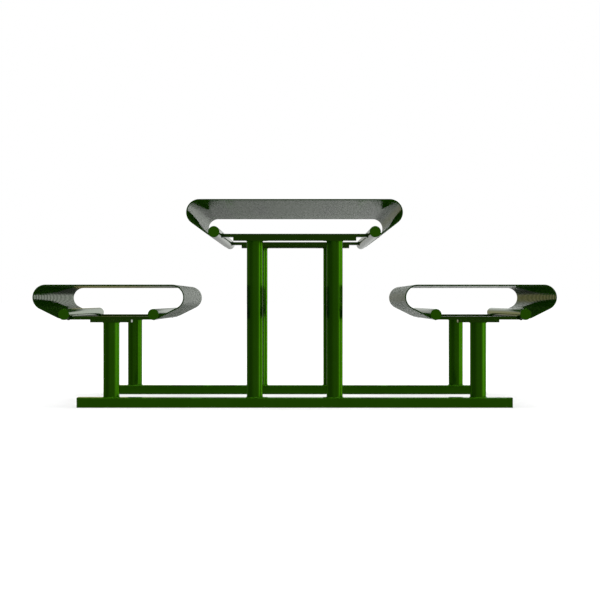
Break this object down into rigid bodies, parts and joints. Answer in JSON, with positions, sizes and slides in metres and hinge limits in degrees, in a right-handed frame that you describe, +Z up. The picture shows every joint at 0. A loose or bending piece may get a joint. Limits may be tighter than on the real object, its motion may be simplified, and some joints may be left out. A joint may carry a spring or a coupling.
{
  "type": "picnic table",
  "caption": "Steel picnic table: a slatted top and two slatted benches bent down to round edge tubes, carried by round legs on flat base rails.",
  "frame": {"origin": "on the ground, under the middle of the table top", "axes": "+X across the table from bench to bench, +Y along the table, +Z up"},
  "size_m": [1.8958, 1.8, 0.75],
  "materials": {
    "frame_paint": "glossy dark green powder coat",
    "slat_paint": "glossy dark green powder coat",
    "cap_paint": "glossy dark green powder coat",
    "screw_steel": "zinc plated"
  },
  "bodies": {
    "root": {"table_slats": "slat_paint", "table_edge_tube_left": "frame_paint", "table_edge_tube_right": "frame_paint", "table_tube_caps": "cap_paint", "table_strut_front": "frame_paint", "table_strut_rear": "frame_paint", "seat_slats_left": "slat_paint", "seat_slats_right": "slat_paint", "seat_edge_tube_left_outer": "frame_paint", "seat_edge_tube_left_inner": "frame_paint", "seat_edge_tube_right_inner": "frame_paint", "seat_edge_tube_right_outer": "frame_paint", "seat_tube_caps_left": "cap_paint", "seat_tube_caps_right": "cap_paint", "seat_strut_left_front": "frame_paint", "seat_strut_left_rear": "frame_paint", "seat_strut_right_front": "frame_paint", "seat_strut_right_rear": "frame_paint", "base_rail_front": "frame_paint", "base_rail_rear": "frame_paint", "rail_caps_front": "cap_paint", "rail_caps_rear": "cap_paint", "table_leg_left_front": "frame_paint", "table_leg_right_front": "frame_paint", "table_leg_left_rear": "frame_paint", "table_leg_right_rear": "frame_paint", "seat_leg_left_front": "frame_paint", "seat_leg_right_front": "frame_paint", "seat_leg_left_rear": "frame_paint", "seat_leg_right_rear": "frame_paint", "table_plate_front": "frame_paint", "table_plate_rear": "frame_paint", "seat_plate_left_front": "frame_paint", "seat_plate_right_front": "frame_paint", "seat_plate_left_rear": "frame_paint", "seat_plate_right_rear": "frame_paint", "table_screws": "screw_steel", "seat_screws": "screw_steel"}
  },
  "joints": []
}
